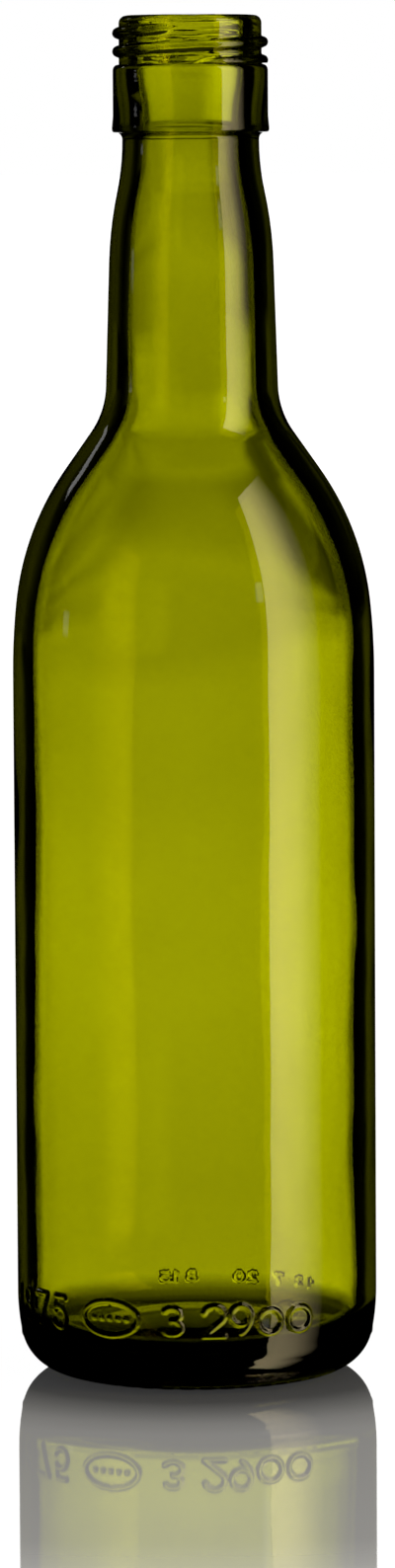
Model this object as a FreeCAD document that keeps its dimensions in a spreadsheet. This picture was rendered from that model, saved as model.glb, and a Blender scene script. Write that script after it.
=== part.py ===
"""Empty screw-neck glass bottle of 187 ml: one piece of glass, hollow and open at the mouth.

The bottle stands on z = 0 with its axis on +Z. The driving sizes are cells of the sheet Sizes, in
millimetres and degrees, with slopes measured from the axis. The outside is turned in two lengths,
the hull up to the undercut of the finish and the finish above it. The inside runs parallel to the
hull at the thickness of the wall.
"""
import FreeCAD
import Part
import Sketcher
import math
import os

from FreeCAD import Placement, Rotation, Vector

SIZES = {
    # whole bottle
    "total_height": 187.6,
    "body_diameter": 50.0,
    "neck_diameter": 18.8,
    # base: a heel of two radii that meet at the mould seam, a notched standing ring and a punt
    "heel_radius": 6.4,
    "seam_height": 5.1,
    "flare_radius": 29.3,
    "ring_width": 2.4,
    "punt_depth": 4.5,
    "punt_edge_radius": 2.0,
    "notch_count": 44,
    "notch_radius": 1.2,
    "notch_depth": 0.35,
    "notch_inset": 0.8,
    "notch_length": 2.8,
    # shoulder and neck, from the body upwards
    "lead_radius": 93.0,
    "lead_slope": 6.0,
    "flank_slope": 35.1,
    "flank_length": 6.3,
    "root_radius": 11.6,
    "neck_slope": 1.8,
    "neck_length": 17.0,
    "waist_radius": 54.4,
    "waist_slope": 12.2,
    "crest_radius": 32.5,
    "crest_land": 0.25,
    # finish: undercut, bead, collar, land for the thread, lip
    "finish_height": 16.0,
    "undercut_radius": 0.9,
    "land_diameter": 19.6,
    "land_height": 6.7,
    "collar_step": 0.85,
    "collar_corner": 0.8,
    "bead_step": 0.15,
    "bead_height": 2.3,
    "bead_land": 0.35,
    "bead_corner": 0.35,
    "lip_radius": 1.1,
    # thread: a round ridge on the land that sinks into it at both ends
    "thread_radius": 0.75,
    "thread_height": 0.9,
    "thread_pitch": 2.5,
    "thread_turns": 2.0,
    "thread_depth": 1.85,
    "thread_fade": 35.0,
    "thread_bury": 0.1,
    "thread_azimuth": -95.0,
    # inside
    "wall": 2.7,
    "neck_wall": 2.8,
    "floor_thickness": 3.8,
    "floor_radius": 51.0,
    "inner_heel_radius": 4.8,
    "throat_depth": 15.0,
    "bore_depth": 7.0,
    "bore_diameter": 14.6,
    "mouth_radius": 0.7,
}
SECTIONS_PER_TURN = 24

UNDERCUT_HEIGHT = "Sizes.total_height - Sizes.finish_height"
CREST_HEIGHT = f"{UNDERCUT_HEIGHT} - Sizes.undercut_radius - Sizes.crest_land"
LAND_RADIUS = "Sizes.land_diameter / 2"
COLLAR_RADIUS = f"({LAND_RADIUS} + Sizes.collar_step)"
BEAD_RADIUS = f"({COLLAR_RADIUS} + Sizes.bead_step)"
RING_RADIUS = ("(Sizes.body_diameter / 2 - Sizes.flare_radius + (Sizes.flare_radius - Sizes.heel_radius)"
               " * sqrt(1 - (1 - Sizes.seam_height / Sizes.heel_radius) ^ 2))")

doc = FreeCAD.newDocument("MiniBottle")
sheet = doc.addObject("Spreadsheet::Sheet", "Sizes")
for row, (alias, number) in enumerate(SIZES.items(), start=1):
    sheet.set(f"A{row}", alias)
    sheet.set(f"B{row}", str(number))
    sheet.setAlias(f"B{row}", alias)
doc.recompute()


def measure(formula):
    """The number that a formula of the sheet's sizes gives."""
    return float(sheet.evalExpression(formula))


def travel(radius, low, high):
    """How far an arc between two slopes goes across, and how far along the axis."""
    low, high = math.radians(low), math.radians(high)
    return radius * (math.cos(low) - math.cos(high)), radius * (math.sin(high) - math.sin(low))


def run(length, slope):
    """The same for a straight line."""
    return length * math.sin(math.radians(slope)), length * math.cos(math.radians(slope))


def origin_of(body, role):
    """A plane or an axis of the body's own origin."""
    return next(feature for feature in body.Origin.OriginFeatures if feature.Role == role)


def attach(sketch, body, role):
    sketch.AttachmentSupport = [(origin_of(body, role), "")]
    sketch.MapMode = "FlatFace"


class Profile:
    """A closed profile beside the axis: a chain of lines and arcs, drawn as a pen would go."""

    ORIGIN = (-1, 1)
    GROUND = -1
    AXIS = -2
    CENTRE = 3

    def __init__(self, body, name, height=0):
        self.sketch = body.newObject("Sketcher::SketchObject", name)
        attach(self.sketch, body, "XZ_Plane")
        self.start = Vector(0, height, 0)
        self.at = self.start
        self.heading = 0
        self.first = None
        self.last = None

    def rule(self, kind, *places):
        self.sketch.addConstraint(Sketcher.Constraint(kind, *places))

    def size(self, kind, places, formula):
        """A dimension that stays bound to the sheet."""
        number = measure(formula)
        if kind == "Angle":
            number = math.radians(number)
        index = self.sketch.addConstraint(Sketcher.Constraint(kind, *places, number))
        self.sketch.setExpression(f"Constraints[{index}]", formula)

    def join(self, near, far, smooth):
        if self.last:
            self.rule("Tangent" if smooth else "Coincident", *self.last, *near)
        else:
            self.first = near
        self.last = far

    def line(self, length, turn=0):
        """Go straight, after a corner of turn degrees if that isn't zero."""
        self.heading += turn
        start = self.at
        self.at = start + Rotation(Vector(0, 0, 1), self.heading).multVec(Vector(length, 0, 0))
        segment = self.sketch.addGeometry(Part.LineSegment(start, self.at))
        self.join((segment, 1), (segment, 2), smooth=turn == 0)
        return segment

    def upright(self, length, radius_formula, turn=0):
        """A line along the axis, at a radius from it."""
        segment = self.line(length, turn)
        self.rule("Vertical", segment)
        self.size("DistanceX", (*self.ORIGIN, segment, 2), radius_formula)
        return segment

    def arc(self, radius, turn):
        """Bend by turn degrees, to the left when it is positive."""
        begin = math.radians(self.heading - math.copysign(90, turn))
        end = begin + math.radians(turn)
        centre = self.at - radius * Vector(math.cos(begin), math.sin(begin), 0)
        circle = Part.Circle(centre, Vector(0, 0, 1), radius)
        segment = self.sketch.addGeometry(Part.ArcOfCircle(circle, min(begin, end), max(begin, end)))
        self.at = centre + radius * Vector(math.cos(end), math.sin(end), 0)
        self.heading += turn
        ends = [(segment, 1), (segment, 2)]
        if turn < 0:
            ends.reverse()
        self.join(*ends, smooth=True)
        return segment

    def bend(self, radius_formula, turn):
        """An arc of a bound radius."""
        segment = self.arc(measure(radius_formula), turn)
        self.size("Radius", (segment,), radius_formula)
        return segment

    def flare(self, radius_formula):
        """A quarter turn outwards that ends level."""
        segment = self.bend(radius_formula, -90)
        self.rule("Vertical", segment, self.CENTRE, *self.last)

    def close(self):
        """Back to the axis on the level, and along it to the start."""
        foot = Vector(0, self.at.y, 0)
        top = self.sketch.addGeometry(Part.LineSegment(self.at, foot))
        self.join((top, 1), (top, 2), smooth=self.heading == 180)
        self.rule("Horizontal", top)
        self.rule("PointOnObject", top, 2, self.AXIS)
        side = self.sketch.addGeometry(Part.LineSegment(foot, self.start))
        self.join((side, 1), (side, 2), smooth=False)
        self.rule("Coincident", *self.last, *self.first)


def shoulder_and_neck(profile, wall, neck_wall):
    """From the straight body to the crest of the neck: the outside, or what runs inside it.

    The curve lies inside the outer one by wall at the body and by neck_wall at the neck. The body
    line and the shoulder arc have no size of their own, because they fill what the rest leaves.
    """
    lead = f"Sizes.lead_radius - {wall}"
    root = f"Sizes.root_radius + {neck_wall}"
    waist = f"Sizes.waist_radius - {neck_wall}"
    crest = f"Sizes.crest_radius + {neck_wall}"
    body = f"Sizes.body_diameter / 2 - {wall}"
    neck = f"Sizes.neck_diameter / 2 - {neck_wall}"
    lead_slope = measure("Sizes.lead_slope")
    flank_slope = measure("Sizes.flank_slope")
    neck_slope = measure("Sizes.neck_slope")
    waist_slope = measure("Sizes.waist_slope")
    flank_length = measure("Sizes.flank_length")
    neck_length = measure("Sizes.neck_length")

    fixed = [
        travel(measure(lead), 0, lead_slope),
        run(flank_length, flank_slope),
        travel(measure(root), neck_slope, flank_slope),
        run(neck_length, neck_slope),
        travel(measure(waist), neck_slope, waist_slope),
        travel(measure(crest), 0, waist_slope),
    ]
    across = measure(body) - measure(neck) - sum(step[0] for step in fixed)
    shoulder = across / travel(1, lead_slope, flank_slope)[0]
    rise = travel(shoulder, lead_slope, flank_slope)[1] + sum(step[1] for step in fixed)

    profile.upright(measure(CREST_HEIGHT) - rise - profile.at.y, body)
    part = profile.bend(lead, lead_slope)
    profile.size("Angle", (part,), "Sizes.lead_slope")
    profile.arc(shoulder, flank_slope - lead_slope)
    part = profile.line(flank_length)
    profile.size("Distance", (part,), "Sizes.flank_length")
    profile.size("Angle", (part,), "90 + Sizes.flank_slope")
    profile.bend(root, neck_slope - flank_slope)
    part = profile.line(neck_length)
    profile.size("Distance", (part,), "Sizes.neck_length")
    profile.size("Angle", (part,), "90 + Sizes.neck_slope")
    part = profile.bend(waist, waist_slope - neck_slope)
    profile.size("Angle", (part,), "Sizes.waist_slope - Sizes.neck_slope")
    profile.bend(crest, -waist_slope)
    profile.size("DistanceY", (*profile.ORIGIN, *profile.last), CREST_HEIGHT)
    return neck


def add_feature(body, kind, name, sketch):
    """A feature made from a sketch, not yet recomputed."""
    feature = body.newObject(f"PartDesign::{kind}", name)
    feature.Profile = sketch
    return feature


def turn(body, kind, name, sketch):
    """A Revolution or a Groove of a profile about the axis."""
    feature = add_feature(body, kind, name, sketch)
    feature.ReferenceAxis = (sketch, ["V_Axis"])
    feature.Angle = 360
    settle(body, kind == "Revolution")


def settle(body, adds):
    """Recompute, and make sure that the last feature added glass or took it away."""
    before = 0 if body.Shape.isNull() else body.Shape.Volume
    doc.recompute()
    if adds != (body.Shape.Volume > before):
        raise RuntimeError(f"{body.Tip.Name} left the volume at {body.Shape.Volume}")


def hull(body):
    """The outside from the standing ring to the undercut below the finish."""
    seam_slope = math.degrees(math.asin(1 - measure("Sizes.seam_height / Sizes.heel_radius")))
    profile = Profile(body, "HullProfile")
    base = profile.line(measure(RING_RADIUS))
    profile.rule("Coincident", *profile.first, *profile.ORIGIN)
    profile.rule("Horizontal", base)
    profile.bend("Sizes.heel_radius", 90 - seam_slope)
    profile.size("DistanceY", (*profile.ORIGIN, *profile.last), "Sizes.seam_height")
    profile.bend("Sizes.flare_radius", seam_slope)
    neck = shoulder_and_neck(profile, "0", "0")
    profile.upright(measure("Sizes.crest_land"), neck)
    profile.flare("Sizes.undercut_radius")
    profile.size("DistanceY", (*profile.ORIGIN, *profile.last), UNDERCUT_HEIGHT)
    profile.close()
    turn(body, "Revolution", "Hull", profile.sketch)


def finish(body):
    """The outside of the finish, from the undercut up: bead, collar, land and lip."""
    ledge_height = "Sizes.total_height - Sizes.land_height"
    collar = measure(f"{ledge_height} - ({UNDERCUT_HEIGHT}) - Sizes.bead_height - Sizes.collar_corner")
    cone_rise = measure("Sizes.bead_height - Sizes.bead_corner - Sizes.bead_land")
    cone_step = measure("Sizes.bead_step")
    lean = math.degrees(math.atan2(cone_step, cone_rise))
    profile = Profile(body, "FinishProfile", measure(UNDERCUT_HEIGHT))
    under = profile.line(measure(f"{BEAD_RADIUS} - Sizes.bead_corner"))
    profile.rule("PointOnObject", *profile.first, profile.AXIS)
    profile.rule("Horizontal", under)
    profile.size("DistanceY", (*profile.ORIGIN, *profile.first), UNDERCUT_HEIGHT)
    profile.bend("Sizes.bead_corner", 90)
    edge = profile.upright(measure("Sizes.bead_land"), BEAD_RADIUS)
    profile.size("Distance", (edge,), "Sizes.bead_land")
    profile.line(math.hypot(cone_rise, cone_step), turn=lean)
    profile.size("DistanceY", (*profile.first, *profile.last), "Sizes.bead_height")
    profile.upright(collar, COLLAR_RADIUS, turn=-lean)
    profile.bend("Sizes.collar_corner", 90)
    ledge = profile.line(measure("Sizes.collar_step - Sizes.collar_corner"))
    profile.rule("Horizontal", ledge)
    profile.size("DistanceY", (*profile.ORIGIN, *profile.last), ledge_height)
    profile.upright(measure("Sizes.land_height - Sizes.lip_radius"), LAND_RADIUS, turn=-90)
    profile.bend("Sizes.lip_radius", 90)
    profile.size("DistanceY", (*profile.ORIGIN, *profile.last), "Sizes.total_height")
    profile.close()
    turn(body, "Revolution", "Finish", profile.sketch)


def punt(body):
    """The hollow under the base: a dome that meets the standing ring in a rounded edge."""
    rim = f"{RING_RADIUS} - Sizes.ring_width"
    rim_radius = measure(rim)
    depth = measure("Sizes.punt_depth")
    both_radii = (rim_radius ** 2 + depth ** 2) / (2 * depth)
    fall = math.degrees(math.asin(rim_radius / both_radii))
    profile = Profile(body, "PuntProfile", depth)
    dome = profile.arc(both_radii - measure("Sizes.punt_edge_radius"), -fall)
    profile.rule("PointOnObject", *profile.first, profile.AXIS)
    profile.rule("PointOnObject", dome, profile.CENTRE, profile.AXIS)
    profile.size("DistanceY", (*profile.ORIGIN, *profile.first), "Sizes.punt_depth")
    edge = profile.bend("Sizes.punt_edge_radius", fall)
    profile.rule("Vertical", *profile.last, edge, profile.CENTRE)
    profile.rule("PointOnObject", *profile.last, profile.GROUND)
    profile.size("DistanceX", (*profile.ORIGIN, *profile.last), rim)
    profile.close()
    turn(body, "Groove", "Punt", profile.sketch)


def cavity(body):
    """The inside, open at the mouth: floor, body, neck, throat and bore."""
    floor_height = "Sizes.punt_depth + Sizes.floor_thickness"
    throat_height = "Sizes.total_height - Sizes.throat_depth"
    bore_height = "Sizes.total_height - Sizes.bore_depth"
    corner = measure("Sizes.inner_heel_radius")
    reach = measure("Sizes.body_diameter / 2 - Sizes.wall") - corner
    fall = math.degrees(math.asin(reach / (measure("Sizes.floor_radius") + corner)))
    profile = Profile(body, "CavityProfile", measure(floor_height))
    floor = profile.bend("Sizes.floor_radius", -fall)
    profile.rule("PointOnObject", *profile.first, profile.AXIS)
    profile.rule("PointOnObject", floor, profile.CENTRE, profile.AXIS)
    profile.size("DistanceY", (*profile.ORIGIN, *profile.first), floor_height)
    profile.bend("Sizes.inner_heel_radius", 90 + fall)
    throat = shoulder_and_neck(profile, "Sizes.wall", "Sizes.neck_wall")
    profile.upright(measure(throat_height) - profile.at.y, throat)
    profile.size("DistanceY", (*profile.ORIGIN, *profile.last), throat_height)
    widening = measure("Sizes.bore_diameter / 2") - profile.at.x
    rise = measure(bore_height) - profile.at.y
    lean = 2 * math.degrees(math.atan2(widening, rise))
    radius = abs(rise / (2 * math.sin(math.radians(lean))))
    outward = profile.arc(radius, -lean)
    upward = profile.arc(radius, lean)
    profile.rule("Equal", outward, upward)
    profile.size("DistanceY", (*profile.ORIGIN, *profile.last), bore_height)
    profile.upright(measure("Sizes.bore_depth - Sizes.mouth_radius"), "Sizes.bore_diameter / 2")
    profile.flare("Sizes.mouth_radius")
    profile.size("DistanceY", (*profile.ORIGIN, *profile.last), "Sizes.total_height")
    profile.close()
    turn(body, "Groove", "Cavity", profile.sketch)


def notches(body):
    """Short notches across the outer edge of the standing ring, evenly spaced round it."""
    sketch = body.newObject("Sketcher::SketchObject", "NotchProfile")
    attach(sketch, body, "YZ_Plane")
    sketch.setExpression("AttachmentOffset.Base.z", f"{RING_RADIUS} - Sizes.notch_inset")
    radius = measure("Sizes.notch_radius")
    below = measure("Sizes.notch_radius - Sizes.notch_depth")
    sketch.addGeometry(Part.Circle(Vector(0, -below, 0), Vector(0, 0, 1), radius))
    sketch.addConstraint(Sketcher.Constraint("Radius", 0, radius))
    sketch.addConstraint(Sketcher.Constraint("PointOnObject", 0, 3, -2))
    sketch.addConstraint(Sketcher.Constraint("DistanceY", 0, 3, -1, 1, below))
    sketch.setExpression("Constraints[0]", "Sizes.notch_radius")
    sketch.setExpression("Constraints[2]", "Sizes.notch_radius - Sizes.notch_depth")
    notch = add_feature(body, "Pocket", "Notch", sketch)
    notch.Reversed = True
    notch.setExpression("Length", "Sizes.notch_length")
    settle(body, False)
    row = body.newObject("PartDesign::PolarPattern", "Notches")
    row.Originals = [notch]
    row.Axis = (origin_of(body, "Z_Axis"), [""])
    row.Angle = 360
    row.setExpression("Occurrences", "Sizes.notch_count")
    body.Tip = row
    settle(body, False)


def thread():
    """The ridge, lofted through round sections that follow a right-hand helix."""
    radius = measure("Sizes.thread_radius")
    turns = measure("Sizes.thread_turns")
    pitch = measure("Sizes.thread_pitch")
    fade = measure("Sizes.thread_fade") / 360
    top = measure("Sizes.total_height - Sizes.thread_depth")
    centre = measure(f"{LAND_RADIUS} + Sizes.thread_height - Sizes.thread_radius")
    sink = measure("Sizes.thread_height + Sizes.thread_bury")
    count = round(turns * SECTIONS_PER_TURN)
    sections = []
    for index in range(count + 1):
        turn = turns * index / count
        nearness = max(0, 1 - min(turn, turns - turn) / fade)
        sunk = sink * math.sin(nearness * math.pi / 2) ** 2
        place = Vector(centre - sunk, 0, top - pitch * (turns - turn))
        section = Part.Wire(Part.makeCircle(radius, place, Vector(0, 1, 0)))
        section.rotate(Vector(0, 0, 0), Vector(0, 0, 1), measure("Sizes.thread_azimuth") + 360 * turn)
        sections.append(section)
    ridge = doc.addObject("Part::Feature", "ThreadRidge")
    ridge.Shape = Part.makeLoft(sections, True)
    ridge.Placement = Placement()
    return ridge


body = doc.addObject("PartDesign::Body", "Blank")
hull(body)
finish(body)
punt(body)
cavity(body)
notches(body)
bottle = doc.addObject("Part::Fuse", "Bottle")
bottle.Label = "bottle"
bottle.Base = body
bottle.Tool = thread()
bottle.Placement = Placement(Vector(0, 0, 0), Rotation())
doc.recompute()

for item in doc.Objects:
    if {"Invalid", "Error"} & set(item.State):
        raise RuntimeError(f"{item.Name}: {item.State}")
    if item.isDerivedFrom("Sketcher::SketchObject") and not item.FullyConstrained:
        raise RuntimeError(f"{item.Name} isn't fully constrained")
if bottle.Shape.isNull() or not bottle.Shape.isValid() or len(bottle.Shape.Solids) != 1:
    raise RuntimeError("the bottle isn't one sound solid")

os.makedirs("parts", exist_ok=True)
bottle.Shape.exportStep(f"parts/{bottle.Label}.step")
print(f"{bottle.Label}: {bottle.Shape.Volume / 1000:.1f} ml of glass")
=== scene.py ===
"""Looks of the empty screw-neck glass bottle: one turned skin of green glass, and a small studio.

Run as a script in Blender. Lengths are in metres and angles in radians, unless a comment or a
name says otherwise. The bottle stands on z = 0 with its axis on +Z, and its front faces -Y.
"""
import math

import bpy
import numpy as np
from mathutils import Euler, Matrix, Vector


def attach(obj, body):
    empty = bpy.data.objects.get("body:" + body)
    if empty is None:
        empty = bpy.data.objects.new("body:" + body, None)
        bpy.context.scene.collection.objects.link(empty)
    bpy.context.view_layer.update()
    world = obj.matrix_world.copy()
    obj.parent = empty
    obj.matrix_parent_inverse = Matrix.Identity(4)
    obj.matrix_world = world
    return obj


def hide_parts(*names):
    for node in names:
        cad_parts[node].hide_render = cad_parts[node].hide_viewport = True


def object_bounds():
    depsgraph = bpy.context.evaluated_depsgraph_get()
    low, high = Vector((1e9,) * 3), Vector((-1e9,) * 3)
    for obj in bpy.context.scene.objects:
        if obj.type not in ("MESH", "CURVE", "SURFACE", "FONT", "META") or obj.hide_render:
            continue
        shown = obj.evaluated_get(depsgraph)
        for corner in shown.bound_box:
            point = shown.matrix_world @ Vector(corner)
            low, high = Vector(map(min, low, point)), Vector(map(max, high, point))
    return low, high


bl_info = {
    "name": "Mini Wine Bottle",
    "version": (1, 0, 0),
    "blender": (4, 5, 0),
    "location": "View3D > Sidebar > Bottle",
    "description": "Turns an empty screw-neck wine bottle in green glass and sets up its studio",
    "category": "Add Mesh",
}

MM = 0.001
QUARTER = math.pi / 2
ROUND = 2 * math.pi
FRONT, BACK = -QUARTER, QUARTER     # bearings round the axis, from +X
NODE = "bottle"

# The relief of the glass: places and small sizes that go with the sizes of the bottle below.
MARKS_END = 14.3 * MM       # from here up, the body carries no raised marks
ROUNDED_TO = 14.2 * MM      # cut faces are brought back to the true round up to here
SKIN_DEPTH = MM             # how far in from the body's radius still counts as its outside
MARK_REACH = 1.2 * MM       # the same, for the raised marks
MARK_ROUND = 0.75           # how full the section of a raised line is
NEARLY = 0.02 * MM          # how close to the land counts as on it
THREAD_ROOT = 0.035 * MM    # hollow where the ridge meets the land
THREAD_SINK = 1.1 * MM      # how far the ridge has sunk at its two ends
THREAD_FALL = 1.5           # how fast the ridge falls away outside its round
NOTCH_START = 0.6 * MM      # from the inner edge of the ring to where the notches begin
NOTCH_FADE = 0.5 * MM       # the run over which they reach their depth
NOTCH_REACH = 2.6 * MM      # how far they may run past the ring
NOTCH_ROOM = 2.2 * MM       # how far past the ring the faces are cut finer for them
NOTCH_LEVEL = 0.5 * MM      # and how far up
SEAM_HALF = 0.35 * MM       # half the width of the ridge round the heel
WAVES_FROM = 14 * MM        # the inner wall is wavy from here
WAVES_TO = 108 * MM         # up to here
WAVES_FADE = 12 * MM        # the run over which the waves grow from either end
WAVES_RADIUS = 20 * MM      # the floor inside, nearer the axis than this, has none
SHOULDER_MIDDLE = 128 * MM  # where the extra glass of the shoulder is thickest
SHOULDER_HALF = 25 * MM     # how far it reaches up and down from there
DOUBLES = 0.002 * MM        # points closer than this are one point
SMOOTH_BELOW = math.radians(50)

# Where faces are cut finer for the marks: middle and half width in degrees round the body from
# the front or the back, foot and top in millimetres.
FRONT_ZONE = (-19, 62, 7.4, 14.0)
BACK_ZONE = (-17, 36, 6.4, 10.4)
MARK_BAND = (6.8 * MM, 13.6 * MM)       # the marks stand between these heights
MARK_CUTS, NOTCH_CUTS = 4, 1            # cuts along each edge of a face

# Raised figures, as chains of strokes in a box one wide and one high. Two numbers are a point,
# six are part of an oval: its middle, half its width and height, and its first and last degrees.
FIGURES = {
    "0": [[(0.5, 0.5, 0.5, 0.5, 0, 360)]],
    "1": [[(0.15, 0.72), (0.6, 1.0), (0.6, 0.0)]],
    "2": [[(0.5, 0.7, 0.48, 0.3, 165, -40), (0.0, 0.0), (1.0, 0.0)]],
    "3": [[(0.45, 0.75, 0.45, 0.25, 150, -90), (0.45, 0.26, 0.52, 0.26, 90, -150)]],
    "5": [[(0.9, 1.0), (0.15, 1.0), (0.08, 0.55), (0.45, 0.33, 0.52, 0.33, 120, -150)]],
    "7": [[(0.0, 1.0), (1.0, 1.0), (0.35, 0.0)]],
    "8": [[(0.5, 0.76, 0.4, 0.24, -90, 270), (0.5, 0.26, 0.5, 0.26, 90, 450)]],
    "9": [[(0.5, 0.68, 0.5, 0.32, 0, 360)], [(0.1, 0.68, 0.9, 0.68, 0, -62)]],
}
# Figure, middle round the body from the front or the back, foot, width and height, in millimetres.
FRONT_MARKS = (("1", -33.0, 8.55, 2.0, 4.1), ("8", -29.4, 8.55, 2.5, 4.1), ("7", -25.4, 8.55, 2.7, 4.1),
               ("5", -21.2, 8.55, 2.5, 4.1), ("3", -3.3, 8.8, 2.5, 3.6), ("2", 2.3, 8.55, 2.9, 4.1),
               ("9", 6.0, 8.55, 2.7, 4.1), ("0", 10.2, 8.6, 3.4, 3.3), ("0", 14.8, 8.6, 3.6, 3.3))
BACK_MARKS = (("1", -20.0, 7.6, 1.0, 1.7), ("3", -17.5, 7.6, 1.2, 1.7), ("7", -13.4, 7.6, 1.2, 1.7),
              ("2", -8.8, 7.6, 1.2, 1.7), ("0", -6.6, 7.6, 1.2, 1.7), ("8", 0.8, 7.6, 1.2, 1.7),
              ("1", 3.4, 7.6, 0.9, 1.7), ("5", 5.0, 7.6, 1.2, 1.7))
# The oval ring on the front: its middle, half its width and height, and the pitch of its five dots.
OVAL = (-12.4, 10.6, 4.2, 2.35)
DOT_PITCH = 1.25

# Fine relief of the skin: noise scale, how much closer it lies upwards, and (height, strength).
SKIN = ((90, 0.7, [(0.165, 1.0), (0.169, 0.6)]),
        (160, 6, [(0.168, 0.0), (0.178, 0.06), (0.1815, 1.0)]))
POLISH_SCALE = 90           # noise scale of the uneven polish
POLISH_WORST = 0.03         # roughest polish

# The lights round the bottle. Bearings and heights are in degrees, as seen from the bottle:
# bearing 0 lies straight behind it, height 0 is the horizon, and a stop is (degrees, brightness).
# Lit screens that the glass is seen against: bearing, lowest and highest edge.
SCREENS = ((0, -50, 40), (-45, -33, -18), (-90, -12, 6), (135, -24, -8))
SCREEN_EDGE = 1.5
# Narrow images of them in the floor: bearing, lowest and highest edge, brightness.
IMAGES = ((0, -40, 50, 1.25), (-45, 22, 28, 1), (-90, 2, 4, 0.7), (135, 12, 18, 1))
IMAGE_EDGE = 1.0
IMAGE_WIDTH = (2, 3)
# Brightness across a screen, away from its middle, behind the body and behind the neck, and by
# height where the second takes over from the first.
BODY_SCREEN = [(2.2, 1.0), (3.0, 1.02), (6.5, 1.2), (9, 1.27), (14, 1.4), (20, 1.38),
               (24, 1.0), (28, 0.2), (31, 0.0)]
NECK_SCREEN = [(2.2, 1.0), (4.6, 1.0), (9.5, 0.87), (14, 0.73), (24, 0.68), (30, 0.3),
               (36, 0.1), (44, 0.0)]
NECK_STARTS = [(-3.4, 0.0), (-2.6, 1.0)]
# Brightness up the screens: dimmer behind the shoulder.
SCREEN_LEVELS = [(-50, 0.5), (-25, 0.8), (-14, 1.1), (-7.2, 1.02), (-5, 0.9), (-4, 0.77), (-2, 0.82),
                 (-1.1, 0.9), (0, 0.72), (1, 0.55), (3, 0.5), (6, 1.0), (11, 1.0), (14, 0.3)]
# Uneven patches of the screens: how much brighter, and where, by bearing and by height.
PATCHES = (
    (0.25, [(3, 0), (6, 1)], [(-4.6, 1), (-3.6, 0)]),                   # right, behind the body
    (-0.9, [(13, 0), (20, 1)], [(-3.0, 0), (-2.0, 1)]),                 # far right, beside the neck
    (-0.6, [(4, 0), (7, 1)], [(-1, 0), (0, 1), (4, 1), (6, 0)]),        # right, behind the shoulder
    (0.6, [(-7, 1), (-4, 0)], [(-0.2, 0), (0.6, 1), (4, 1), (6, 0)]),   # left, behind the shoulder
)
# Light that comes up through the floor, by height.
UNDERGLOW = [(-62, 0.5), (-52, 0.0)]
# A screen is dimmer through one wall only, by how many faces of the glass the light has crossed.
SCREEN_DEPTH = [(2.5, 0.12), (3.5, 1.0)]
SKYLIGHT = 0.3              # the world's light on matt surfaces

# The floor, by metres from the axis: how much it mirrors, how bright the camera sees it, and how
# bright it is as seen through the glass, which is a painted shadow of the bottle: dark near the axis.
FLOOR_MIRROR = [(0.020, 0.965), (0.028, 0.955), (0.036, 0.90), (0.043, 0.845), (0.051, 0.81),
                (0.12, 0.78), (0.134, 0.73), (0.15, 0.61), (0.17, 0.5), (0.4, 0.0)]
FLOOR_GLOW = [(0.02, 0.85), (0.5, 0.85), (1.5, 1.0)]
FLOOR_PAINTED_SHADOW = [(0.026, 0.0), (0.036, 0.4), (0.050, 0.7), (0.068, 0.85), (0.16, 0.8), (0.42, 1.0)]
# Past these metres from the axis, and left of this place, a reflection in the glass looks through
# the floor.
FLOOR_GONE = [(0.10, 0), (0.14, 1)]
FLOOR_LEFT = -0.005
FLOOR_WHITE = 0.8
FLOOR_POLISH = 0.03
FLOOR_RADIUS, FLOOR_SIDES = 25, 96
# Brightness of the softbox across its width, from 0 to 1.
SOFTBOX_FADE = [(0.0, 0.95), (0.2, 1.0), (0.5, 0.74), (0.75, 0.32), (1.0, 0.0)]

SENSOR_WIDTH = 36           # millimetres
NEAREST, FARTHEST = 0.01, 100

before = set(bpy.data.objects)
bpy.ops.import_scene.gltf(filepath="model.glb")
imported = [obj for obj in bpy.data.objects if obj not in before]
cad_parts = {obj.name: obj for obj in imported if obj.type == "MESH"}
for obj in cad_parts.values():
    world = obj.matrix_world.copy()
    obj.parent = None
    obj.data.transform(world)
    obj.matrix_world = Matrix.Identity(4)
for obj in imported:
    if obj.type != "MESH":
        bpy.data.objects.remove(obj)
cad_low, cad_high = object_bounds()
CAD_HEIGHT = cad_high.z - cad_low.z
CAD_WIDTH = cad_high.x - cad_low.x


def length(label, words, millimetres):
    """A length property in metres, given here in millimetres."""
    return bpy.props.FloatProperty(name=label, description=words, default=millimetres * MM,
                                   unit="LENGTH", subtype="DISTANCE", precision=5)


def angle(label, words, degrees):
    """An angle property, given here in degrees."""
    return bpy.props.FloatProperty(name=label, description=words, default=math.radians(degrees),
                                   unit="ROTATION", subtype="ANGLE")


def count(label, words, number):
    """A whole number from 1 up."""
    return bpy.props.IntProperty(name=label, description=words, default=number, min=1)


def amount(label, words, number, **extra):
    """A plain number."""
    return bpy.props.FloatProperty(name=label, description=words, default=number, **extra)


def tint(label, words, colour):
    """A colour."""
    return bpy.props.FloatVectorProperty(name=label, description=words, default=colour, size=3,
                                         min=0, max=1, subtype="COLOR")


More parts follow.
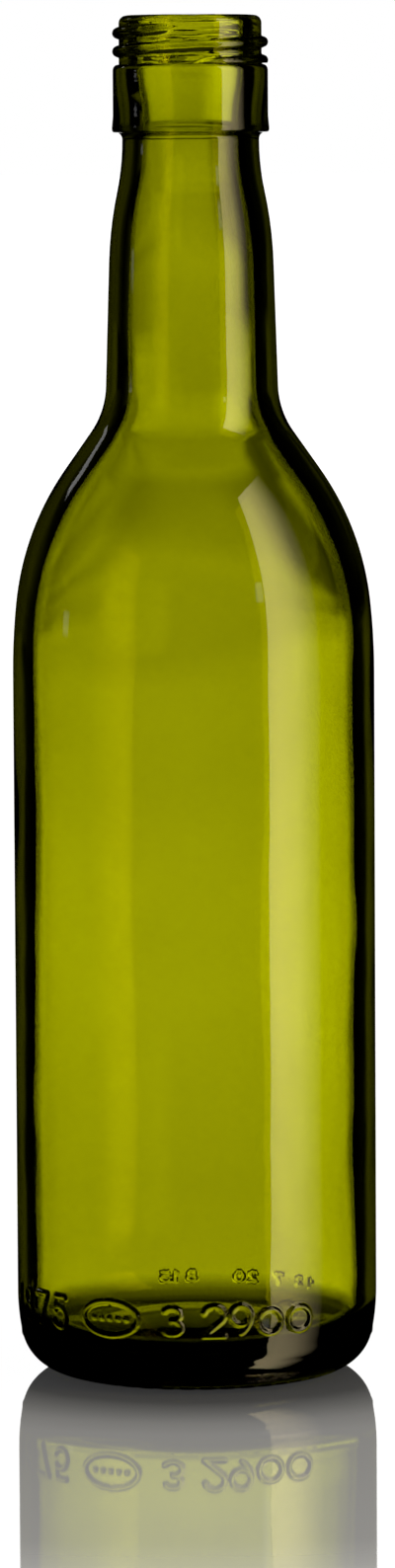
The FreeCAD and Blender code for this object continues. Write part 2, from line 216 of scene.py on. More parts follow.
class BottleSizes(bpy.types.PropertyGroup):
    """Sizes of the glass, from the standing ring up to the lip."""
    total_height: length("Total height", "Floor to the top of the lip", CAD_HEIGHT / MM)
    body_diameter: length("Body diameter", "Across the straight body", round(CAD_WIDTH / MM, 1))
    neck_diameter: length("Neck diameter", "Just under the finish", 18.8)
    heel_radius: length("Heel radius", "Round of the heel, outside", 6.4)
    seam_height: length("Seam height", "Where the base plate of the mould meets the halves", 5.1)
    flare_radius: length("Flare radius", "Slow curve from the seam to the body", 29.3)
    ring_width: length("Ring width", "Flat of the standing ring", 2.4)
    punt_depth: length("Punt depth", "Hollow under the base", 4.5)
    punt_edge: length("Punt edge", "Round where the hollow meets the ring", 2.0)
    notch_count: count("Notches", "Notches round the standing ring", 44)
    notch_radius: length("Notch radius", "Round of one notch", 1.2)
    notch_depth: length("Notch depth", "How deep a notch cuts", 0.35)
    lead_radius: length("Lead radius", "Slow curve from the body to the shoulder", 93.0)
    lead_slope: angle("Lead slope", "Slope where the shoulder begins", 6.0)
    flank_slope: angle("Flank slope", "Steepest slope of the shoulder", 35.1)
    flank_length: length("Flank length", "Straight part of the shoulder", 6.3)
    root_radius: length("Root radius", "Hollow curve at the foot of the neck", 11.6)
    neck_slope: angle("Neck slope", "Slope of the long neck", 1.8)
    neck_length: length("Neck length", "Straight part of the neck", 17.0)
    waist_radius: length("Waist radius", "Curve in from the neck to the waist", 54.4)
    waist_slope: angle("Waist slope", "Slope below the crest", 12.2)
    crest_radius: length("Crest radius", "Curve up to the undercut", 32.5)
    crest_land: length("Crest land", "Upright bit below the undercut", 0.25)
    finish_height: length("Finish height", "Undercut to the top of the lip", 16.0)
    undercut_radius: length("Undercut radius", "Round below the bead", 0.9)
    land_diameter: length("Land diameter", "Across the land that carries the thread", 19.6)
    land_height: length("Land height", "Ledge of the collar to the top of the lip", 6.7)
    collar_step: length("Collar step", "Collar proud of the land", 0.85)
    collar_corner: length("Collar corner", "Round on top of the collar", 0.8)
    bead_step: length("Bead step", "Bead proud of the collar", 0.15)
    bead_height: length("Bead height", "Undercut to the top of the bead", 2.3)
    bead_land: length("Bead land", "Upright band of the bead", 0.35)
    bead_corner: length("Bead corner", "Round under the bead", 0.35)
    lip_radius: length("Lip radius", "Round of the lip, outside", 1.1)
    thread_radius: length("Thread radius", "Round of the ridge", 0.75)
    thread_crest: length("Thread crest", "Ridge proud of the land", 0.9)
    thread_pitch: length("Thread pitch", "Climb of one turn", 2.5)
    thread_turns: amount("Thread turns", "Turns of the ridge", 2.0)
    thread_top: length("Thread top", "Top end of the ridge below the lip", 1.85)
    thread_fade: angle("Thread fade", "How far each end takes to sink in", 35.0)
    thread_azimuth: angle("Thread azimuth", "Where the ridge begins and ends", -95.0)
    wall: length("Wall", "Thickness of the body", 2.7)
    neck_wall: length("Neck wall", "Thickness of the neck", 2.8)
    floor_thickness: length("Floor thickness", "Glass on the axis", 3.8)
    floor_radius: length("Floor radius", "Curve of the floor inside", 51.0)
    inner_heel: length("Inner heel radius", "Round between floor and wall inside", 4.8)
    throat_depth: length("Throat depth", "Lip to the narrowest bore", 15.0)
    bore_depth: length("Bore depth", "Straight part of the bore", 7.0)
    bore_diameter: length("Bore diameter", "Across the mouth", 14.6)
    mouth_radius: length("Mouth radius", "Round of the lip, inside", 0.7)
    wave_depth: length("Wave depth", "Uneven thickness of the wall, seen from inside", 0.22)
    oval_depth: length("Oval depth", "Wall thicker at the two sides, thinner at front and back", 0.05)
    shoulder_depth: length("Shoulder depth", "Extra glass inside the shoulder, under the neck", 0.35)
    lean_depth: length("Lean depth", "Wall thicker on the right side, thinner on the left", 0.08)
    seam_rise: length("Seam rise", "Mould seam round the heel", 0.10)
    mark_rise: length("Mark rise", "Raised marks above the heel", 0.35)
    mark_line: length("Mark line", "Half width of the line of a raised mark", 0.42)
    sides: count("Sides", "Faces round the bottle, a multiple of the notches", 220)


class GlassLook(bpy.types.PropertyGroup):
    """Colour and surface of the glass."""
    absorbed: tint("Glass colour", "Light that the glass lets through", (0.855, 0.861, 0.016))
    density: amount("Density", "How fast the glass takes up light, per metre", 1300.0)
    ior: amount("Index", "Index of refraction", 1.52)
    ripple: length("Ripple", "Depth of the fine relief of the skin", 0.1)


class StudioSettings(bpy.types.PropertyGroup):
    """Camera and softbox."""
    distance: length("Distance", "Camera to the axis", 940)
    height: length("Camera height", "Camera above the floor", 172)
    aim: length("Aim", "Height in the middle of the picture", 81.65)
    aside: length("Aside", "Camera to the right of the axis", 0.45)
    roll: angle("Roll", "Camera turned about its line of sight", -0.32)
    lens: amount("Lens", "Focal length in millimetres", 156.4, unit="CAMERA")
    box_bearing: angle("Softbox bearing", "Round the bottle from the front to the right", 67.3)
    box_distance: length("Softbox distance", "Softbox to the axis", 700)
    box_middle: length("Softbox middle", "Middle of the softbox above the floor", 320)
    box_width: length("Softbox width", "Across the softbox", 500)
    box_height: length("Softbox height", "Up the softbox", 1440)
    box_level: amount("Softbox level", "Brightness of the softbox", 4.3)
    box_colour: tint("Softbox colour", "Light of the softbox", (1, 0.83, 0.46))


class Pen:
    """Draws the profile in the XZ plane: each stroke leaves the last point selected."""

    def __init__(self, radius, height, heading):
        self.x, self.z, self.heading = radius, height, heading
        bpy.ops.mesh.primitive_plane_add(size=MM, location=(0, 0, 0))
        bpy.ops.object.mode_set(mode="EDIT")
        bpy.ops.mesh.select_all(action="SELECT")
        bpy.ops.mesh.merge(type="CENTER")
        bpy.ops.transform.translate(value=(radius, 0, height))

    def line(self, run, steps=1):
        """Straight on, in equal steps."""
        step = run / steps
        dx, dz = step * math.cos(self.heading), step * math.sin(self.heading)
        for _ in range(steps):
            bpy.ops.mesh.extrude_vertices_move(TRANSFORM_OT_translate={"value": (dx, 0, dz)})
        self.x += dx * steps
        self.z += dz * steps

    def arc(self, radius, turn, steps):
        """Bend by turn, to the left when it is positive."""
        side = math.copysign(1, turn)
        cx = self.x - side * radius * math.sin(self.heading)
        cz = self.z + side * radius * math.cos(self.heading)
        bpy.ops.mesh.spin(steps=steps, angle=turn, center=(cx, 0, cz), axis=(0, 1, 0))
        self.heading += turn
        self.x = cx + side * radius * math.sin(self.heading)
        self.z = cz - side * radius * math.cos(self.heading)

    def turn(self, by):
        """Turn on the spot."""
        self.heading += by

    def rise_to(self, height, steps=1):
        """Straight up or down to a height."""
        self.line(abs(height - self.z), steps)


def shoulder_curves(size, wall, neck_wall):
    """Radii of the curves from the body to the crest, and how far they climb.

    The shoulder takes what the other curves leave between the body and the neck.
    """
    lead = size.lead_radius - wall
    root = size.root_radius + neck_wall
    waist = size.waist_radius - neck_wall
    crest = size.crest_radius + neck_wall
    low, flank, slope, top = size.lead_slope, size.flank_slope, size.neck_slope, size.waist_slope

    def across(start, end):
        return math.cos(start) - math.cos(end)

    def along(start, end):
        return math.sin(end) - math.sin(start)

    gap = size.body_diameter / 2 - wall - (size.neck_diameter / 2 - neck_wall)
    gap -= lead * across(0, low) + size.flank_length * math.sin(flank) + root * across(slope, flank)
    gap -= size.neck_length * math.sin(slope) + waist * across(slope, top) + crest * across(0, top)
    shoulder = gap / across(low, flank)
    rise = (lead * along(0, low) + shoulder * along(low, flank) + size.flank_length * math.cos(flank)
            + root * along(slope, flank) + size.neck_length * math.cos(slope)
            + waist * along(slope, top) + crest * along(0, top))
    return lead, shoulder, root, waist, crest, rise


def draw_hull(pen, size):
    """Outside of the glass: punt, ring, heel, body, shoulder, neck, collar, land and lip."""
    seam = math.asin(1 - size.seam_height / size.heel_radius)
    ring = (size.body_diameter / 2 - size.flare_radius
            + (size.flare_radius - size.heel_radius) * math.cos(seam))
    rim = ring - size.ring_width
    punt = (rim ** 2 + size.punt_depth ** 2) / (2 * size.punt_depth)
    lean = math.asin(rim / punt)
    crest_height = size.total_height - size.finish_height - size.undercut_radius - size.crest_land

    pen.arc(punt - size.punt_edge, -lean, 10)
    pen.arc(size.punt_edge, lean, 6)
    pen.line(size.ring_width, 5)
    pen.arc(size.heel_radius, QUARTER - seam, 20)
    pen.arc(size.flare_radius, seam, 8)
    lead, shoulder, root, waist, crest, rise = shoulder_curves(size, 0, 0)
    pen.rise_to(MARKS_END, 4)
    pen.rise_to(crest_height - rise, 8)
    pen.arc(lead, size.lead_slope, 5)
    pen.arc(shoulder, size.flank_slope - size.lead_slope, 18)
    pen.line(size.flank_length, 3)
    pen.arc(root, size.neck_slope - size.flank_slope, 10)
    pen.line(size.neck_length, 4)
    pen.arc(waist, size.waist_slope - size.neck_slope, 5)
    pen.arc(crest, -size.waist_slope, 5)
    pen.line(size.crest_land)
    pen.arc(size.undercut_radius, -QUARTER, 6)

    land = size.land_diameter / 2
    collar = land + size.collar_step
    bead = collar + size.bead_step
    pen.line(bead - size.bead_corner - pen.x)
    pen.arc(size.bead_corner, QUARTER, 3)
    pen.line(size.bead_land)
    cone = size.bead_height - size.bead_corner - size.bead_land
    tilt = math.atan2(size.bead_step, cone)
    pen.turn(tilt)
    pen.line(math.hypot(cone, size.bead_step), 2)
    pen.turn(-tilt)
    ledge = size.total_height - size.land_height
    pen.rise_to(ledge - size.collar_corner, 3)
    pen.arc(size.collar_corner, QUARTER, 5)
    pen.line(pen.x - land)
    pen.turn(-QUARTER)
    pen.rise_to(size.total_height - size.lip_radius, 38)
    pen.arc(size.lip_radius, QUARTER, 7)
    return rim, ring


def draw_cavity(pen, size):
    """Inside of the glass, from the lip down to the floor on the axis."""
    bore = size.bore_diameter / 2
    throat = size.neck_diameter / 2 - size.neck_wall
    pen.line(pen.x - bore - size.mouth_radius)
    pen.arc(size.mouth_radius, QUARTER, 5)
    pen.rise_to(size.total_height - size.bore_depth, 3)
    fall = size.throat_depth - size.bore_depth
    bend = 2 * math.atan2(bore - throat, fall)
    radius = fall / (2 * math.sin(bend))
    pen.arc(radius, -bend, 3)
    pen.arc(radius, bend, 3)
    lead, shoulder, root, waist, crest, _ = shoulder_curves(size, size.wall, size.neck_wall)
    pen.rise_to(size.total_height - size.finish_height - size.undercut_radius - size.crest_land)
    pen.arc(crest, size.waist_slope, 5)
    pen.arc(waist, size.neck_slope - size.waist_slope, 5)
    pen.line(size.neck_length, 5)
    pen.arc(root, size.flank_slope - size.neck_slope, 10)
    pen.line(size.flank_length, 3)
    pen.arc(shoulder, size.lead_slope - size.flank_slope, 18)
    pen.arc(lead, -size.lead_slope, 5)
    heel = size.inner_heel
    floor = size.punt_depth + size.floor_thickness
    foot = size.body_diameter / 2 - size.wall - heel
    reach = size.floor_radius + heel
    lean = math.asin(foot / reach)
    pen.rise_to(floor - size.floor_radius + reach * math.cos(lean), 20)
    pen.arc(heel, -(QUARTER + lean), 16)
    pen.arc(size.floor_radius, lean, 10)


def deselect_all():
    """Leave every object, and any editing, behind."""
    if bpy.context.object and bpy.context.object.mode != "OBJECT":
        bpy.ops.object.mode_set(mode="OBJECT")
    bpy.ops.object.select_all(action="DESELECT")


def read_vectors(piece, field):
    """One vector for each of the piece's vertices, as an array."""
    flat = np.empty(len(piece.data.vertices) * 3)
    piece.data.vertices.foreach_get(field, flat)
    return flat.reshape(-1, 3)


def round_axis(points):
    """Distance from the axis, bearing and height of each point."""
    x, y, z = points.T
    return np.hypot(x, y), np.arctan2(y, x), z


def refine(piece, cuts, wanted):
    """Cut the faces whose middle passes the test finer, as room for low relief."""
    bpy.ops.object.mode_set(mode="EDIT")
    bpy.ops.mesh.select_mode(type="FACE")
    bpy.ops.mesh.select_all(action="DESELECT")
    bpy.ops.object.mode_set(mode="OBJECT")
    for face in piece.data.polygons:
        face.select = wanted(face.center)
    bpy.ops.object.mode_set(mode="EDIT")
    bpy.ops.mesh.subdivide(number_cuts=cuts)
    bpy.ops.object.mode_set(mode="OBJECT")


def refine_marks(piece, size, facing, zone):
    """Cut the faces that will carry raised marks finer."""
    middle, half, foot, top = zone
    outside = size.body_diameter / 2 - SKIN_DEPTH

    def carries(spot):
        off = math.remainder(math.atan2(spot.y, spot.x) - facing - math.radians(middle), ROUND)
        return (math.hypot(spot.x, spot.y) > outside and foot * MM < spot.z < top * MM
                and abs(off) < math.radians(half))

    refine(piece, MARK_CUTS, carries)


def round_off(piece, size):
    """Bring the cut faces of the lower body back to its true round."""
    points = read_vectors(piece, "co")
    radius, _, height = round_axis(points)
    seam = math.asin(1 - size.seam_height / size.heel_radius)
    top = size.seam_height + size.flare_radius * math.sin(seam)
    near = ((radius > size.body_diameter / 2 - SKIN_DEPTH) & (height > size.seam_height)
            & (height < ROUNDED_TO))
    below = np.clip(top - height, 0, None)
    true = size.body_diameter / 2 - size.flare_radius + np.sqrt(size.flare_radius ** 2 - below ** 2)
    points[:, :2] *= np.where(near, true / np.maximum(radius, MM), 1)[:, None]
    piece.data.vertices.foreach_set("co", points.ravel())
    piece.data.update()


def raise_by(piece, name, heights):
    """Push the surface out along its normal by the heights, and in where they are below zero."""
    if not heights.any():
        raise RuntimeError(f"{name} raises nothing")
    for sign in (1, -1):
        part = np.clip(sign * heights, 0, None)
        most = float(part.max())
        if not most:
            continue
        group = piece.vertex_groups.new(name=name)
        for index in np.flatnonzero(part):
            group.add([int(index)], float(part[index]) / most, "REPLACE")
        modifier = piece.modifiers.new(name, "DISPLACE")
        modifier.direction = "NORMAL"
        modifier.mid_level = 0
        modifier.strength = sign * most
        modifier.vertex_group = name
        bpy.ops.object.modifier_apply(modifier=name)
        piece.vertex_groups.remove(piece.vertex_groups[name])


def oval(x, z, across, up, start=0, end=360):
    """Points along part of an oval."""
    steps = max(6, int(abs(end - start) / 15))
    turns = [math.radians(start + (end - start) * k / steps) for k in range(steps + 1)]
    return [(x + across * math.cos(turn), z + up * math.sin(turn)) for turn in turns]


def figure_chains(marks):
    """The raised figures as chains of points, in millimetres round the body and up."""
    chains = []
    for name, middle, foot, width, tall in marks:
        for strokes in FIGURES[name]:
            chain = []
            for stroke in strokes:
                chain += [stroke] if len(stroke) == 2 else oval(*stroke)
            chains.append([(middle + (x - 0.5) * width, foot + z * tall) for x, z in chain])
    return chains


def oval_chains():
    """The oval ring and the row of dots in it."""
    x, z, _, _ = OVAL
    return [oval(*OVAL)] + [[(x + step * DOT_PITCH, z)] for step in range(-2, 3)]


def mark_heights(points, size, chains, facing):
    """Rounded lines along the chains on the outside of the body, which start from facing."""
    radius, azimuth, height = round_axis(points)
    azimuth = (azimuth - facing + math.pi) % ROUND - math.pi
    body = size.body_diameter / 2
    foot, top = MARK_BAND
    index = np.flatnonzero((radius > body - MARK_REACH) & (height > foot) & (height < top))
    at = np.stack([azimuth[index] * body, height[index]], axis=1) / MM
    away = np.full(len(index), math.inf)
    for chain in chains:
        for start, end in zip(chain, chain[1:] or chain):
            start, run = np.array(start), np.array(end) - np.array(start)
            share = np.clip((at - start) @ run / max(run @ run, 1e-9), 0, 1)
            away = np.minimum(away, np.linalg.norm(at - start - share[:, None] * run, axis=1))
    heights = np.zeros(len(points))
    full = np.clip(1 - (away / (size.mark_line / MM)) ** 2, 0, 1)
    heights[index] = size.mark_rise * full ** MARK_ROUND
    return heights


def notch_heights(points, size, rim, ring):
    """Round notches across the standing ring."""
    radius, azimuth, height = round_axis(points)
    pitch = ROUND / size.notch_count
    off = radius * np.abs((azimuth / pitch + 0.5) % 1 - 0.5) * pitch
    cut = np.sqrt(np.clip(size.notch_radius ** 2 - off ** 2, 0, None))
    cut -= size.notch_radius - size.notch_depth
    fade = np.clip((radius - rim - NOTCH_START) / NOTCH_FADE, 0, 1)
    near = (radius > rim) & (radius < ring + NOTCH_REACH) & (height < size.notch_depth)
    return -np.where(near, np.clip(cut - height, 0, None) * fade, 0)


def seam_heights(points, size):
    """The faint ridge round the heel where the parts of the mould meet."""
    radius, _, height = round_axis(points)
    outside = radius > size.body_diameter / 2 - 2 * SKIN_DEPTH
    off = (height - size.seam_height) / SEAM_HALF
    return np.where(outside & (np.abs(off) < 1), size.seam_rise * (1 - off ** 2), 0)


def wave_heights(points, size):
    """Uneven thickness of the blown wall, on the inside only."""
    radius, azimuth, height = round_axis(points)
    inside = ((radius < size.body_diameter / 2 - 0.7 * size.wall) & (radius > WAVES_RADIUS)
              & (height > WAVES_FROM) & (height < WAVES_TO))

    def climb(pitch):
        return ROUND * height / (pitch * MM)

    waves = (0.3 * np.sin(3 * azimuth + climb(95))
             + 0.3 * np.sin(climb(41) + 1.3 * np.sin(azimuth))
             + 0.2 * np.sin(5 * azimuth - climb(57))
             + 0.2 * np.sin(2 * azimuth + climb(23)))
    ends = (np.clip((height - WAVES_FROM) / WAVES_FADE, 0, 1)
            * np.clip((WAVES_TO - height) / WAVES_FADE, 0, 1))
    uneven = size.oval_depth * np.cos(2 * azimuth) + size.lean_depth * np.cos(azimuth)
    return np.where(inside, (0.5 * size.wave_depth * waves + uneven) * ends, 0)


def shoulder_heights(points, normals, size):
    """The glass is thicker inside the shoulder, under the neck."""
    inside = (normals[:, :2] * points[:, :2]).sum(axis=1) < 0
    away = np.clip(np.abs(points[:, 2] - SHOULDER_MIDDLE) / SHOULDER_HALF, 0, 1)
    return np.where(inside, size.shoulder_depth * 0.5 * (1 + np.cos(math.pi * away)), 0)


def thread_heights(points, size):
    """The round ridge on the land: a right-hand helix that sinks in at both ends."""
    radius, azimuth, height = round_axis(points)
    foot = size.total_height - size.thread_top - size.thread_turns * size.thread_pitch
    on_land = ((np.abs(radius - size.land_diameter / 2) < NEARLY)
               & (height > size.total_height - size.land_height))
    heights = np.zeros(len(points))
    span = size.thread_turns * ROUND
    for lap in range(int(math.ceil(size.thread_turns)) + 1):
        along = (azimuth - size.thread_azimuth) % ROUND + lap * ROUND
        ends = np.clip(np.minimum(along, span - along) / size.thread_fade, 0, 1)
        crest = size.thread_crest - THREAD_SINK * np.cos(ends * QUARTER) ** 2
        away = np.abs(height - foot - size.thread_pitch * along / ROUND)
        inside = np.sqrt(np.clip(size.thread_radius ** 2 - away ** 2, 0, None))
        ridge = (inside + crest - size.thread_radius
                 - THREAD_FALL * np.clip(away - size.thread_radius, 0, None))
        softened = THREAD_ROOT * np.log1p(np.exp(np.clip(ridge / THREAD_ROOT, -30, 30)))
        heights = np.maximum(heights, np.where(along <= span, softened, 0))
    return np.where(on_land, heights, 0)


class GlassOperator(bpy.types.Operator):
    """Turn the bottle's glass skin from its profile and finish it"""
    bl_idname = "mini_bottle.glass"
    bl_label = "Glass"

    def execute(self, context):
        size = context.scene.mini_bottle_sizes
        deselect_all()
        pen = Pen(0, size.punt_depth, 0)
        piece = context.object
        piece.name = piece.data.name = "bottle_glass"
        rim, ring = draw_hull(pen, size)
        draw_cavity(pen, size)
        bpy.ops.mesh.select_all(action="SELECT")
        bpy.ops.mesh.spin(steps=size.sides, angle=ROUND, center=(0, 0, 0), axis=(0, 0, 1))
        bpy.ops.mesh.select_all(action="SELECT")
        bpy.ops.mesh.remove_doubles(threshold=DOUBLES)
        bpy.ops.mesh.normals_make_consistent(inside=False)
        bpy.ops.object.mode_set(mode="OBJECT")

        refine(piece, NOTCH_CUTS, lambda spot: spot.z < NOTCH_LEVEL
               and rim < math.hypot(spot.x, spot.y) < ring + NOTCH_ROOM)
        refine_marks(piece, size, FRONT, FRONT_ZONE)
        refine_marks(piece, size, BACK, BACK_ZONE)
        round_off(piece, size)

        def relief(name, heights, *details):
            raise_by(piece, name, heights(read_vectors(piece, "co"), *details))

        relief("front_marks", mark_heights, size, figure_chains(FRONT_MARKS) + oval_chains(), FRONT)
        relief("back_marks", mark_heights, size, figure_chains(BACK_MARKS), BACK)
        relief("notches", notch_heights, size, rim, ring)
        relief("seam", seam_heights, size)
        relief("waves", wave_heights, size)
        relief("shoulder", shoulder_heights, read_vectors(piece, "normal"), size)
        relief("thread", thread_heights, size)
        bpy.ops.object.shade_smooth_by_angle(angle=SMOOTH_BELOW)
        piece.data.materials.clear()
        piece.data.materials.append(glass_material(context.scene.mini_bottle_glass))
        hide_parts(NODE)
        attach(piece, "root")
        return {"FINISHED"}


def new_material(name):
    """An empty node material, its tree and its output."""
    material = bpy.data.materials.new(name)
    material.use_nodes = True
    material.node_tree.nodes.clear()
    output = material.node_tree.nodes.new("ShaderNodeOutputMaterial")
    return material, material.node_tree, output


def add_node(tree, kind, values=None, **settings):
    """A new node. A value on a socket is a number, a colour, or the output that is linked to it."""
    made = tree.nodes.new(kind)
    for name, setting in settings.items():
        setattr(made, name, setting)
    for name, value in (values or {}).items():
        if isinstance(value, bpy.types.NodeSocket):
            tree.links.new(value, made.inputs[name])
        else:
            made.inputs[name].default_value = value
    return made


def math_node(tree, operation, first, second=None, clamp=False):
    """The result of one Math node."""
    values = {0: first} if second is None else {0: first, 1: second}
    return add_node(tree, "ShaderNodeMath", values, operation=operation, use_clamp=clamp).outputs[0]


def times(tree, first, second):
    """The product of two levels."""
    return math_node(tree, "MULTIPLY", first, second)


def plus(tree, first, second):
    """The sum of two levels."""
    return math_node(tree, "ADD", first, second)


def brightest(tree, *levels):
    """The highest of the levels."""
    total = levels[0]
    for level in levels[1:]:
        total = math_node(tree, "MAXIMUM", total, level)
    return total


def ramp(tree, value, stops):
    """Straight lines through (value, level), held at both ends."""
    level = stops[0][1]
    for (low, start), (high, end) in zip(stops, stops[1:]):
        step = add_node(tree, "ShaderNodeMapRange", {"Value": value, "From Min": low, "From Max": high,
                                                     "To Min": 0, "To Max": end - start})
        level = plus(tree, step.outputs["Result"], level)
    return level


def ripples(tree, spot):
    """Height of the fine relief: soft on the body, and lines that run round the pressed finish."""
    height = add_node(tree, "ShaderNodeSeparateXYZ", {0: spot}).outputs["Z"]
    total = 0
    for scale, stretch, strength in SKIN:
        pressed = add_node(tree, "ShaderNodeVectorMath", {0: spot, 1: (1, 1, stretch)},
                           operation="MULTIPLY")
        noise = add_node(tree, "ShaderNodeTexNoise",
                         {"Vector": pressed.outputs[0], "Scale": scale, "Detail": 1})
        total = plus(tree, times(tree, noise.outputs["Fac"], ramp(tree, height, strength)), total)
    return total


def glass_material(look):
    """Clear glass, coloured by how far the light goes in it, with a slightly uneven skin."""
    material, tree, output = new_material("green_glass")
    spot = add_node(tree, "ShaderNodeTexCoord").outputs["Object"]
    noise = add_node(tree, "ShaderNodeTexNoise", {"Vector": spot, "Scale": POLISH_SCALE, "Detail": 3})
    polish = add_node(tree, "ShaderNodeMapRange",
                      {"Value": noise.outputs["Fac"], "To Min": 0, "To Max": POLISH_WORST})
    skin = add_node(tree, "ShaderNodeBump",
                    {"Strength": 1, "Distance": look.ripple, "Height": ripples(tree, spot)})
    shader = add_node(tree, "ShaderNodeBsdfPrincipled",
                      {"Base Color": (1, 1, 1, 1), "Transmission Weight": 1, "IOR": look.ior,
                       "Roughness": polish.outputs["Result"], "Normal": skin.outputs["Normal"]})
    body = add_node(tree, "ShaderNodeVolumeAbsorption",
                    {"Color": (*look.absorbed, 1), "Density": look.density})
    tree.links.new(shader.outputs["BSDF"], output.inputs["Surface"])
    tree.links.new(body.outputs["Volume"], output.inputs["Volume"])
    return material


def band(tree, turn, lift, middle, low, high, edge):
    """Degrees to either side of the middle, and 1 between two heights with soft edges."""
    off = math_node(tree, "ABSOLUTE", math_node(tree, "SUBTRACT", turn, middle))
    return off, ramp(tree, lift, [(low - edge, 0), (low, 1), (high, 1), (high + edge, 0)])


def screens(tree, turn, lift):
    """The lit screens by bearing and height, dark between them."""
    neck = ramp(tree, lift, NECK_STARTS)
    body = math_node(tree, "SUBTRACT", 1, neck)
    levels = []
    for middle, low, high in SCREENS:
        off, tall = band(tree, turn, lift, middle, low, high, SCREEN_EDGE)
        wide = plus(tree, times(tree, ramp(tree, off, BODY_SCREEN), body),
                    times(tree, ramp(tree, off, NECK_SCREEN), neck))
        levels.append(times(tree, wide, tall))
    total = times(tree, brightest(tree, *levels), ramp(tree, lift, SCREEN_LEVELS))
    for change, across, up in PATCHES:
        where = times(tree, ramp(tree, turn, across), ramp(tree, lift, up))
        total = times(tree, total, plus(tree, times(tree, where, change), 1))
    return brightest(tree, total, ramp(tree, lift, UNDERGLOW))


def images(tree, turn, lift):
    """The narrow images of the screens that the floor mirrors."""
    inner, outer = IMAGE_WIDTH
    levels = []
    for middle, low, high, strength in IMAGES:
        off, tall = band(tree, turn, lift, middle, low, high, IMAGE_EDGE)
        levels.append(times(tree, ramp(tree, off, [(inner, strength), (outer, 0)]), tall))
    return brightest(tree, *levels)


def make_world(scene):
    """White to the camera. The glass sees the lit screens, and the floor mirrors their images."""
    world = bpy.data.worlds.new("studio")
    scene.world = world
    world.use_nodes = True
    tree = world.node_tree
    tree.nodes.clear()
    towards = add_node(tree, "ShaderNodeTexCoord").outputs["Generated"]
    split = add_node(tree, "ShaderNodeSeparateXYZ", {0: towards}).outputs
    turn = math_node(tree, "DEGREES", math_node(tree, "ARCTAN2", split["X"], split["Y"]))
    lift = math_node(tree, "DEGREES", math_node(tree, "ARCSINE", split["Z"]))
    rays = add_node(tree, "ShaderNodeLightPath").outputs
    through = rays["Is Transmission Ray"]
    bounced = math_node(tree, "SUBTRACT", rays["Is Glossy Ray"], through, clamp=True)
    dimming = ramp(tree, rays["Transmission Depth"], SCREEN_DEPTH)
    level = times(tree, times(tree, screens(tree, turn, lift), dimming), through)
    level = plus(tree, level, times(tree, images(tree, turn, lift), bounced))
    level = plus(tree, level, times(tree, rays["Is Diffuse Ray"], SKYLIGHT))
    level = plus(tree, level, rays["Is Camera Ray"])
    shine = add_node(tree, "ShaderNodeBackground", {"Color": (1, 1, 1, 1), "Strength": level})
    output = add_node(tree, "ShaderNodeOutputWorld")
    tree.links.new(shine.outputs[0], output.inputs["Surface"])


def floor_material():
    """White to the camera and a mirror near the bottle, with a painted dark reflection where the glass
    mirrors it. Through the glass it lets light up, through a painted shadow of the bottle near the
    axis.
    """
    material, tree, output = new_material("studio_floor")
    spot = add_node(tree, "ShaderNodeNewGeometry").outputs["Position"]
    side = add_node(tree, "ShaderNodeSeparateXYZ", {0: spot}).outputs["X"]
    flat = add_node(tree, "ShaderNodeVectorMath", {0: spot, 1: (1, 1, 0)}, operation="MULTIPLY")
    reach = add_node(tree, "ShaderNodeVectorMath", {0: flat.outputs[0]}, operation="LENGTH")
    away = reach.outputs["Value"]
    rays = add_node(tree, "ShaderNodeLightPath").outputs

    # The floor's paint is white, but black to rays reflected off the glass: a painted dark reflection
    # that keeps the heel and base dark.
    white_but_painted_dark_in_reflections = math_node(tree, "SUBTRACT", FLOOR_WHITE, rays["Is Glossy Ray"], clamp=True)
    paint = add_node(tree, "ShaderNodeBsdfDiffuse", {"Color": white_but_painted_dark_in_reflections})
    glow = add_node(tree, "ShaderNodeEmission",
                    {"Strength": times(tree, rays["Is Camera Ray"], ramp(tree, away, FLOOR_GLOW))})
    matt = add_node(tree, "ShaderNodeAddShader", {0: paint.outputs[0], 1: glow.outputs[0]})
    gloss = add_node(tree, "ShaderNodeBsdfGlossy", {"Roughness": FLOOR_POLISH})
    surface = add_node(tree, "ShaderNodeMixShader", {0: ramp(tree, away, FLOOR_MIRROR),
                                                     1: matt.outputs[0], 2: gloss.outputs[0]})

    # Seen through the glass, the floor is a painted shadow of the bottle: black near the axis, lighter
    # outwards.
    clear = add_node(tree, "ShaderNodeBsdfTransparent", {"Color": ramp(tree, away, FLOOR_PAINTED_SHADOW)})
    gone = brightest(tree, ramp(tree, away, FLOOR_GONE), math_node(tree, "LESS_THAN", side, FLOOR_LEFT))
    open_to = brightest(tree, rays["Is Transmission Ray"], times(tree, rays["Is Glossy Ray"], gone))
    mixed = add_node(tree, "ShaderNodeMixShader",
                     {0: open_to, 1: surface.outputs[0], 2: clear.outputs[0]})
    tree.links.new(mixed.outputs[0], output.inputs["Surface"])
    return material


def add_floor(context):
    """A wide round floor under the bottle."""
    bpy.ops.mesh.primitive_circle_add(vertices=FLOOR_SIDES, radius=FLOOR_RADIUS, fill_type="NGON",
                                      location=(0, 0, 0))
    floor = context.object
    floor.name = floor.data.name = "studio_floor"
    floor.data.materials.append(floor_material())


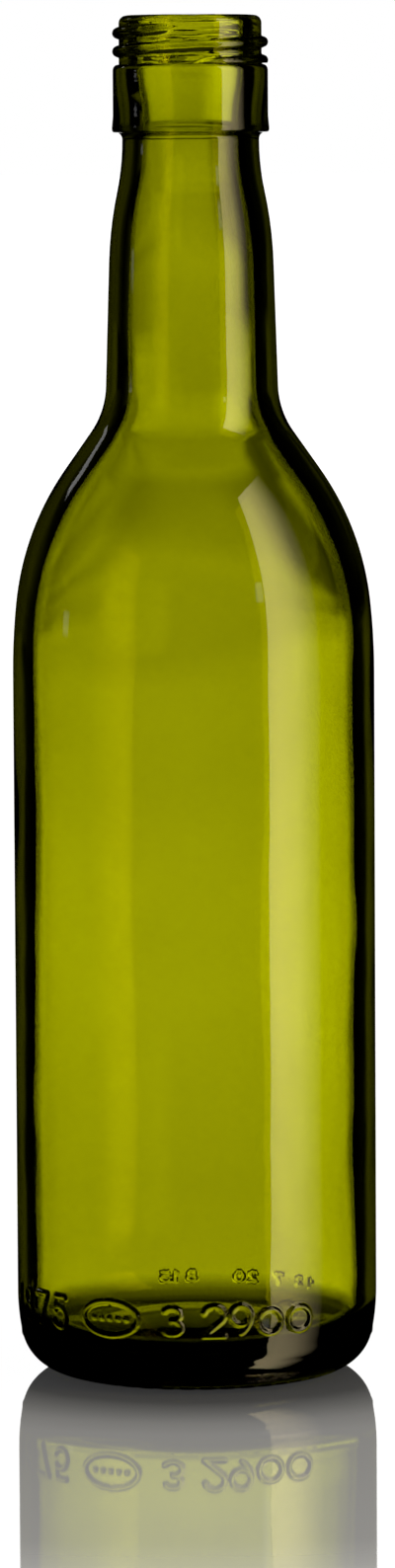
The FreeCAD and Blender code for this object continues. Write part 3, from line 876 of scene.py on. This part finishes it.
def add_softbox(scene, studio):
    """An upright lamp on the right that faces the bottle, hidden from the camera."""
    lamp = bpy.data.lights.new("softbox_right", "AREA")
    lamp.shape = "RECTANGLE"
    lamp.size, lamp.size_y = studio.box_width, studio.box_height
    lamp.color = studio.box_colour
    lamp.energy = studio.box_level * math.pi * studio.box_width * studio.box_height
    lamp.use_nodes = True
    tree = lamp.node_tree
    across = add_node(tree, "ShaderNodeNewGeometry").outputs["Parametric"]
    share = add_node(tree, "ShaderNodeSeparateXYZ", {0: across}).outputs["X"]
    tree.links.new(ramp(tree, share, SOFTBOX_FADE), tree.nodes["Emission"].inputs["Strength"])
    out = Vector((math.sin(studio.box_bearing), -math.cos(studio.box_bearing), 0))
    box = bpy.data.objects.new("softbox_right", lamp)
    scene.collection.objects.link(box)
    box.location = out * studio.box_distance + Vector((0, 0, studio.box_middle))
    box.rotation_mode = "QUATERNION"
    box.rotation_quaternion = (-out).to_track_quat("-Z", "Y")
    box.visible_camera = False


def add_camera(scene, studio):
    """A long lens in front of the bottle, looking slightly down on it."""
    data = bpy.data.cameras.new("camera")
    data.lens = studio.lens
    data.sensor_width = SENSOR_WIDTH
    data.clip_start, data.clip_end = NEAREST, FARTHEST
    camera = bpy.data.objects.new("camera", data)
    scene.collection.objects.link(camera)
    camera.location = (studio.aside, -studio.distance, studio.height)
    look = Vector((0, studio.distance, studio.aim - studio.height))
    level = look.to_track_quat("-Z", "Y")
    camera.rotation_mode = "QUATERNION"
    camera.rotation_quaternion = level @ Euler((0, 0, studio.roll)).to_quaternion()
    scene.camera = camera


class StudioOperator(bpy.types.Operator):
    """Lay the floor, light the bottle and set the camera"""
    bl_idname = "mini_bottle.studio"
    bl_label = "Studio"

    def execute(self, context):
        scene = context.scene
        studio = scene.mini_bottle_studio
        deselect_all()
        add_floor(context)
        make_world(scene)
        add_softbox(scene, studio)
        add_camera(scene, studio)
        scene.view_settings.view_transform = "Standard"
        return {"FINISHED"}


class BottlePanel(bpy.types.Panel):
    """Steps of the bottle, in order"""
    bl_idname = "VIEW3D_PT_mini_bottle"
    bl_label = "Mini Wine Bottle"
    bl_space_type = "VIEW_3D"
    bl_region_type = "UI"
    bl_category = "Bottle"

    def draw(self, context):
        column = self.layout.column(align=True)
        for step in STEPS:
            column.operator(step.bl_idname)


STEPS = (GlassOperator, StudioOperator)
CLASSES = (BottleSizes, GlassLook, StudioSettings, *STEPS, BottlePanel)


def register():
    for each in CLASSES:
        bpy.utils.register_class(each)
    bpy.types.Scene.mini_bottle_sizes = bpy.props.PointerProperty(type=BottleSizes)
    bpy.types.Scene.mini_bottle_glass = bpy.props.PointerProperty(type=GlassLook)
    bpy.types.Scene.mini_bottle_studio = bpy.props.PointerProperty(type=StudioSettings)


def unregister():
    del bpy.types.Scene.mini_bottle_studio
    del bpy.types.Scene.mini_bottle_glass
    del bpy.types.Scene.mini_bottle_sizes
    for each in reversed(CLASSES):
        bpy.utils.unregister_class(each)


def main():
    """Register the add-on, and make the bottle and its studio."""
    register()
    bpy.ops.mini_bottle.glass()
    bpy.ops.mini_bottle.studio()


if __name__ == "__main__":
    main()
